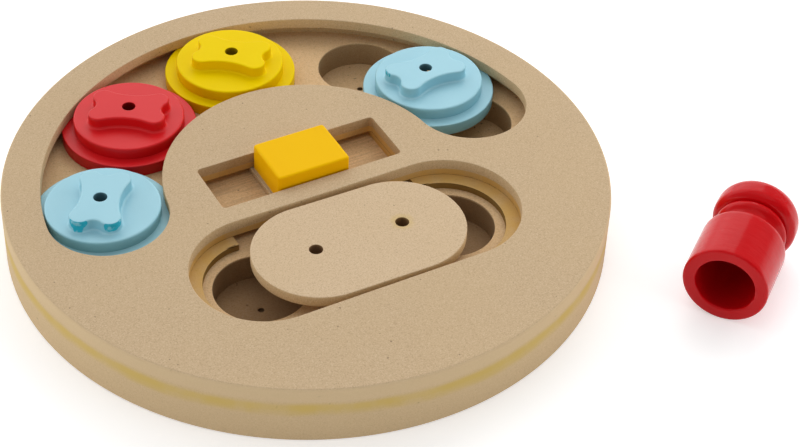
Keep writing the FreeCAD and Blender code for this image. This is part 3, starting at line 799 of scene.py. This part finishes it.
def dowel(node, centre, body, wood):
    """Short rod with chamfered ends."""
    low, high = heights(node)
    radius = size_of(node).x / 2
    inset = radius - CHAMFER
    profile = np.array([(0.0, low), (inset, low), (radius, low + CHAMFER), (radius, high - CHAMFER),
                        (inset, high), (0.0, high)])
    shape = Shape()
    shape.surface(revolved(profile, centre, HOLE_STEPS))
    shape.piece(node + "_grained", body, "dowel_wood", wood, node)


def centre_of(node):
    low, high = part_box(node)
    return ((low + high) / 2).xy


def heights(node):
    low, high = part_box(node)
    return low.z, high.z


def size_of(node):
    low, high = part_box(node)
    return (high - low).xy


class PUZZLE_OT_board(bpy.types.Operator):
    """Base sheet with its wells, the two track sheets and the top sheet"""
    bl_idname = "puzzle.board"
    bl_label = "Board"

    def execute(self, context):
        look = context.scene.puzzle_board
        raw = fibre_board("raw_fibre_board", look, look.face, darkened_slot_walls, stained_rim)
        # The base sheet's material is paler than the face, as painted light in its recesses.
        inner = fibre_board("inner_fibre_board", look, look.inside, stained_rim, drilled_wells)
        stained = fibre_board("glued_fibre_board", look, look.face, glued_tracks, stained_rim)
        slot_centre = (0.0, look.slot_y)
        slot = rounded_box((look.slot_length, look.slot_width), slot_centre, look.slot_corner)
        groove = rounded_box((look.slot_length, look.slot_groove), slot_centre, 0.2 * MM, 3)
        bay = stadium(look.bay_straight, look.bay_width, (0.0, look.bay_y))
        track = track_outline(look, (-look.track_left, look.bay_y))
        undercut, channel = [arc_band(look.channel_radius, width, look.channel_end)
                             for width in (look.undercut_width, look.channel_width)]
        rim = circle(2 * CAD_RADIUS, (0.0, 0.0), RIM_STEPS)
        self.base(look, rim, inner)
        sheets = (
            ("lower_track", (undercut, groove, track), stained, 0.15 * MM, 0.0),
            ("upper_track", (undercut, slot, bay), stained, 0.0, 0.0),
            ("top", (channel, slot, bay), raw, look.edge_ease, look.top_round),
        )
        for name, openings, material, ease, rim_round in sheets:
            node = name + "_board"
            low, high = heights(node)
            wall = wall_profile(low, high, 0.0, ease)
            holes = [(ring, wall) for ring in openings]
            sheet = plate(rim, wall_profile(low, high, 0.0, rim_round), holes)
            sheet.piece("board_" + name, "board", "raw_mdf", material, node)
        return {"FINISHED"}

    def base(self, look, rim, material):
        """Base sheet: each well is a revolved pocket whose upper ring is shared with the sheet's face."""
        low, high = heights("base_board")
        floor, radius = high - look.well_depth, look.well_diameter / 2
        point, tip = look.point_diameter / 2, floor - look.point_depth
        top = wall_profile(floor, high, 0.0, look.edge_ease)[::-1]
        pocket = [(radius + inset, height) for inset, height in top[:-1]]
        pocket += [(radius - MARGIN, floor), (point + MARGIN, floor), (point, floor - 0.2 * MM),
                   (point * 0.9, tip), (0.0, tip)]
        pocket = np.array(pocket)
        shape = Shape()
        rim_grid = carried(clean_ring(rim), wall_profile(low, high, look.bottom_round, 0.0), -1)
        shape.surface(rim_grid)
        wells = [box.mean(0)[:2] for name, box in OPENINGS.items() if name.startswith("well_")]
        pockets = [revolved(pocket, centre, WELL_STEPS) for centre in wells]
        for grid in pockets:
            shape.surface(grid)
        shape.take(*flat_fill([rim_grid[0, :, :2]], low))
        shape.take(*flat_fill([rim_grid[-1, :, :2]] + [grid[0, :, :2] for grid in pockets], high))
        shape.piece("board_base", "board", "raw_mdf", material, "base_board")


class PUZZLE_OT_discs(bpy.types.Operator):
    """Four turning discs, each with its flange, bone handle and dowel"""
    bl_idname = "puzzle.discs"
    bl_label = "Discs"

    def execute(self, context):
        look = context.scene.puzzle_discs
        wood = dowel_wood("dowel_end_grain", look.dowel)
        for name, (colour_name, turn) in DISCS.items():
            centre = JOINTS[name + "_spin"]["pos_m"][:2]
            self.disc(look, name, colour_name, centre, math.radians(turn))
            dowel(name + "_dowel", centre, name + "_axle", wood)
        return {"FINISHED"}

    def disc(self, look, name, colour_name, centre, turn):
        """Flange, disc and bone handle in one paint. Bones with drops have a coat of their own."""
        tone, gloss = tuple(getattr(look, colour_name)), PAINT_GLOSS[colour_name]
        hole = (centre_of(name + "_bone"), look.hole_diameter / 2)
        coat = paint(name + "_coat", tone, gloss, hole=hole)
        slot, body = colour_name + "_paint", name + "_disc"
        for part, ease in (("flange", look.flange_ease), ("disc", look.disc_ease)):
            node = name + "_" + part
            shape = washer(centre, look.bore_diameter / 2, size_of(node).x / 2, *heights(node), ease)
            shape.piece(node + "_painted", body, slot, coat, node)
        if name in DROPS:
            coat = paint(name + "_bone_coat", tone, gloss, drops=self.drops(look, name, turn), hole=hole)
        self.bone(look, name, turn, slot, body, coat)

    def drops(self, look, name, turn):
        """Centres and radii of the drops on a bone, and their colour."""
        middle, foot = centre_of(name + "_bone"), heights(name + "_bone")[0]
        turn = Matrix.Rotation(turn, 2)
        balls = []
        for x, y, rise, radius in DROPS[name]:
            place = turn @ Vector((x * MM, y * MM)) + middle
            balls.append(((place.x, place.y, foot + rise * MM), radius * MM))
        return balls, tuple(look.chip)

    def bone(self, look, name, turn, slot, body, coat):
        """Bone handle, with a fillet of paint round its foot and a hole."""
        low, high = heights(name + "_bone")
        middle = centre_of(name + "_bone")
        ring = bone_outline(look, middle, turn)
        pool = look.pooled_paint
        bend = np.linspace(0.0, math.pi / 2, 6)
        foot = np.stack([-pool * (1 - np.sin(bend)), low + pool * (1 - np.cos(bend))], 1)
        over = wall_profile(low, high, 0.0, look.bone_ease)[2:]
        profile = np.concatenate([[(MARGIN, low)], foot, over])
        bore = wall_profile(low, high, 0.0, 0.35 * MM)
        shape = plate(ring, profile, [(circle(look.hole_diameter, middle, HOLE_STEPS), bore)])
        shape.piece(name + "_bone_painted", body, slot, coat, name + "_bone")


class PUZZLE_OT_slider(bpy.types.Operator):
    """Painted slider block on its raw guide plate"""
    bl_idname = "puzzle.slider"
    bl_label = "Slider block"

    def execute(self, context):
        look, board = context.scene.puzzle_slider, context.scene.puzzle_board
        raw = fibre_board("slider_plate_board", board, board.face)
        low, high = heights("slider_block")
        bare = (low + look.bare, tuple(board.face))
        coat = paint("block_coat", tuple(look.paint), PAINT_GLOSS["yellow"], side_soak_and_shade=0.4, raw=bare)
        ring = rounded_box(size_of("slider_block"), centre_of("slider_block"), look.block_corner)
        block = plate(ring, wall_profile(low, high, 0.0, look.block_ease))
        block.piece("slider_block_painted", "slider", "block_paint", coat, "slider_block")
        low, high = heights("slider_guide_plate")
        ring = rounded_box(size_of("slider_guide_plate"), centre_of("slider_guide_plate"), look.plate_corner)
        wall = wall_profile(low, high, look.plate_ease, look.plate_ease)
        plate(ring, wall).piece("slider_plate_raw", "slider", "raw_mdf", raw, "slider_guide_plate")
        return {"FINISHED"}


class PUZZLE_OT_lid(bpy.types.Operator):
    """Sliding lid with its peg holes, and the spacer, guide plate and dowels under it"""
    bl_idname = "puzzle.lid"
    bl_label = "Lid"

    def execute(self, context):
        look, board = context.scene.puzzle_lid, context.scene.puzzle_board
        raw = fibre_board("lid_board", board, look.face, peg_holes)
        wood = dowel_wood("lid_dowel_end_grain", context.scene.puzzle_discs.dowel)
        dowels = ("lid_dowel_left", "lid_dowel_right")
        holes = [circle(look.hole_diameter, centre_of(node), HOLE_STEPS) for node in dowels]
        outline = stadium(look.board_length - look.board_width, look.board_width, (0.0, 0.0))
        outline = turned(outline, look.askew, centre_of("lid"))
        self.board_piece("lid", outline, holes, look.edge_ease, raw)
        for node in ("lid_spacer", "lid_guide_plate"):
            outline = rounded_box(size_of(node), centre_of(node), 1.0 * MM)
            self.board_piece(node, outline, holes, 0.15 * MM, raw)
        for node in dowels:
            dowel(node, centre_of(node), "lid", wood)
        return {"FINISHED"}

    def board_piece(self, node, outline, holes, ease, material):
        low, high = heights(node)
        bore = wall_profile(low, high, 0.0, min(ease, CHAMFER))
        shape = plate(outline, wall_profile(low, high, ease, ease), [(ring, bore) for ring in holes])
        shape.piece(node + "_raw", "lid", "raw_mdf", material, node)


class PUZZLE_OT_cup(bpy.types.Operator):
    """Turned cup that lies on the floor"""
    bl_idname = "puzzle.cup"
    bl_label = "Cup"

    def execute(self, context):
        look = context.scene.puzzle_cup
        outer = look.diameter / 2
        reach = CAD_RADIUS + look.from_rim
        mouth = (reach * math.cos(look.direction), reach * math.sin(look.direction), outer)
        profile = self.profile(look)
        turn = np.linspace(0.0, 2 * math.pi, CUP_STEPS, endpoint=False)
        along = profile[:, 0, None] + 0 * turn
        across, up = profile[:, 1, None] * np.sin(turn), profile[:, 1, None] * np.cos(turn)
        cos, sin = math.cos(look.turn), math.sin(look.turn)
        grid = np.stack([mouth[0] + along * cos - across * sin, mouth[1] + along * sin + across * cos,
                         mouth[2] + up], 2)
        shape = Shape()
        shape.surface(grid)
        coat = lacquer("cup_gloss", look, mouth)
        shape.piece("treat_cup_turned", "cup", "cup_lacquer", coat, "treat_cup")
        return {"FINISHED"}

    def profile(self, look):
        """Half section from the bore's floor, round the mouth, over the bead and head, to the end."""
        outer, bore = look.diameter / 2, look.diameter / 2 - look.wall
        lip, shoulder, depth = look.lip_round, look.shoulder_round, look.bore_depth
        crease, head = outer - look.crease_depth, look.bead + look.bead_length
        end = head + look.head_length
        right = math.pi / 2
        rows = [
            np.array([(depth, 0.0), (depth, bore - look.bore_round - 1.0 * MM)]),
            arc_points((depth - look.bore_round, bore - look.bore_round), look.bore_round, 0.0, right, 9),
            arc_points((lip, bore + lip), lip, -right, -2 * right, 7),
            arc_points((lip, outer - lip), lip, 2 * right, right, 7),
            np.stack([np.linspace(lip, look.shoulder, 12)[1:-1], np.full(10, outer)], 1),
            arc_points((look.shoulder, outer - shoulder), shoulder, right, 0.0, 9),
            through((look.shoulder + shoulder, outer - shoulder), (look.groove, outer - look.groove_depth),
                    (look.bead, crease), 14)[1:],
            through((look.bead, crease), (look.bead + look.bead_length / 2, outer - look.bead_depth),
                    (head, crease), 10)[1:],
            arc_points((head + look.crease_depth, crease), look.crease_depth, 2 * right, right, 8)[1:],
            arc_points((end - look.head_round, outer - look.head_round), look.head_round, right, 0.0, 14),
            np.array([(end, outer - look.head_round - 1.0 * MM), (end, 0.0)]),
        ]
        return np.concatenate(rows)


def through(start, middle, end, steps):
    """Arc through three points: its centre is where the upright bisectors of the two chords meet."""
    a, b, c = (complex(*point) for point in (start, middle, end))
    w = (c - a) / (b - a)
    centre = a + (b - a) * (w - abs(w) ** 2) / (w - w.conjugate())
    radius = abs(a - centre)
    first, turn = np.angle(a - centre), np.angle((c - centre) / (a - centre))
    if np.sign(np.angle((b - centre) / (a - centre))) != np.sign(turn):
        turn -= np.sign(turn) * 2 * math.pi
    return arc_points((centre.real, centre.imag), radius, first, first + turn, steps)


class PUZZLE_OT_stage(bpy.types.Operator):
    """Pale floor, soft lights and the photograph's camera"""
    bl_idname = "puzzle.stage"
    bl_label = "Stage"

    def execute(self, context):
        look = context.scene.puzzle_stage
        context.scene.view_settings.view_transform = "Standard"
        self.floor(look)
        self.world(look)
        for name, (power, place, size) in LAMPS.items():
            self.lamp(name, getattr(look, power), place, size)
        self.camera(look)
        return {"FINISHED"}

    def floor(self, look):
        maker = Maker("pale_floor", tuple(look.floor))
        maker.shade(Roughness=0.9, Specular_IOR_Level=0.1)
        glow = maker.add("ShaderNodeEmission", values={"Color": (1.0, 1.0, 1.0, 1.0), "Strength": look.glow})
        path = maker.add("ShaderNodeLightPath").socket.node.outputs
        seen = Wire(maker, path["Is Camera Ray"])
        for ray in ("Is Glossy Ray", "Is Transmission Ray"):
            seen = seen.math("MAXIMUM", Wire(maker, path[ray]))
        shaded = Wire(maker, maker.shader.outputs[0])
        both = maker.add("ShaderNodeAddShader", values={0: shaded, 1: glow})
        final = maker.add("ShaderNodeMixShader", values={0: seen, 1: shaded, 2: both})
        maker.put(maker.tree.nodes["Material Output"].inputs["Surface"], final)
        mesh = bpy.data.meshes.new("floor")
        corners = [(x * FLOOR_HALF, y * FLOOR_HALF, 0.0) for x, y in ((-1, -1), (1, -1), (1, 1), (-1, 1))]
        mesh.from_pydata(corners, [], [(0, 1, 2, 3)])
        mesh.materials.append(maker.material)
        new_object("floor", mesh)

    def world(self, look):
        """A white panel beyond the toy, dim walls elsewhere, a pale ceiling, and white at the horizon."""
        world = bpy.data.worlds.new("studio")
        bpy.context.scene.world = world
        world.use_nodes = True
        maker = Nodes(world.node_tree)
        x, y, z = maker.split(maker.add("ShaderNodeTexCoord"))
        facing = y * (x * x + y * y + 1e-6).math("INVERSE_SQRT")
        wall = (facing * 0.5 + 1.0) * look.wall
        wall = wall + facing.step(*PANEL_EDGE) * (look.panel - wall)
        wall = wall + z.step(*CEILING_EDGE) * (look.ceiling - wall)
        light = z.step(*HORIZON_EDGE) * (wall - 1.0) + 1.0
        background = maker.tree.nodes["Background"].inputs
        maker.put(background["Color"], (1.0, 1.0, 1.0, 1.0))
        maker.put(background["Strength"], light)

    def lamp(self, name, power, place, size):
        """Round lamp that faces the toy and stays out of its reflections, which show the room alone."""
        light = bpy.data.lights.new(name, "AREA")
        light.shape = "DISK"
        light.size = size
        light.energy = power
        lamp = new_object(name, light)
        lamp.location = place
        lamp.rotation_euler = (-Vector(place)).to_track_quat("-Z", "Y").to_euler()
        lamp.visible_glossy = False

    def camera(self, look):
        """Camera that looks back along its own Z, set round the target as the photograph's was."""
        data = bpy.data.cameras.new("camera")
        camera = new_object("camera", data)
        bpy.context.scene.camera = camera
        data.sensor_width = SENSOR_WIDTH
        data.lens = look.lens
        data.shift_x, data.shift_y = look.shift_x, look.shift_y
        around, rise, roll = (math.radians(value) for value in (look.azimuth, look.elevation, look.roll))
        level = math.cos(rise)
        back = Vector((math.sin(around) * level, -math.cos(around) * level, math.sin(rise)))
        right = (-back).cross(Vector((0.0, 0.0, 1.0))).normalized()
        up = right.cross(-back)
        side = right * math.cos(roll) + up * math.sin(roll)
        top = up * math.cos(roll) - right * math.sin(roll)
        turn = Matrix((side, top, back)).transposed().to_4x4()
        camera.matrix_world = Matrix.Translation(Vector(look.target) + back * look.distance) @ turn


class PUZZLE_PT_panel(bpy.types.Panel):
    """Lists the operators that build the toy"""
    bl_idname = "PUZZLE_PT_panel"
    bl_label = "Dog puzzle feeder"
    bl_space_type = "VIEW_3D"
    bl_region_type = "UI"
    bl_category = "Puzzle"

    def draw(self, context):
        for operator in OPERATORS:
            self.layout.operator(operator.bl_idname)


LOOKS = {
    "puzzle_board": BoardLook,
    "puzzle_discs": DiscLook,
    "puzzle_slider": SliderLook,
    "puzzle_lid": LidLook,
    "puzzle_cup": CupLook,
    "puzzle_stage": StageLook,
}
OPERATORS = (
    PUZZLE_OT_board, PUZZLE_OT_discs, PUZZLE_OT_slider, PUZZLE_OT_lid, PUZZLE_OT_cup, PUZZLE_OT_stage,
)


def register():
    for name, group in LOOKS.items():
        bpy.utils.register_class(group)
        setattr(bpy.types.Scene, name, PointerProperty(type=group))
    for item in (*OPERATORS, PUZZLE_PT_panel):
        bpy.utils.register_class(item)


def unregister():
    for item in (PUZZLE_PT_panel, *reversed(OPERATORS)):
        bpy.utils.unregister_class(item)
    for name, group in LOOKS.items():
        delattr(bpy.types.Scene, name)
        bpy.utils.unregister_class(group)


def main():
    register()
    bpy.ops.puzzle.board()
    bpy.ops.puzzle.discs()
    bpy.ops.puzzle.slider()
    bpy.ops.puzzle.lid()
    bpy.ops.puzzle.cup()
    bpy.ops.puzzle.stage()


if __name__ == "__main__":
    main()
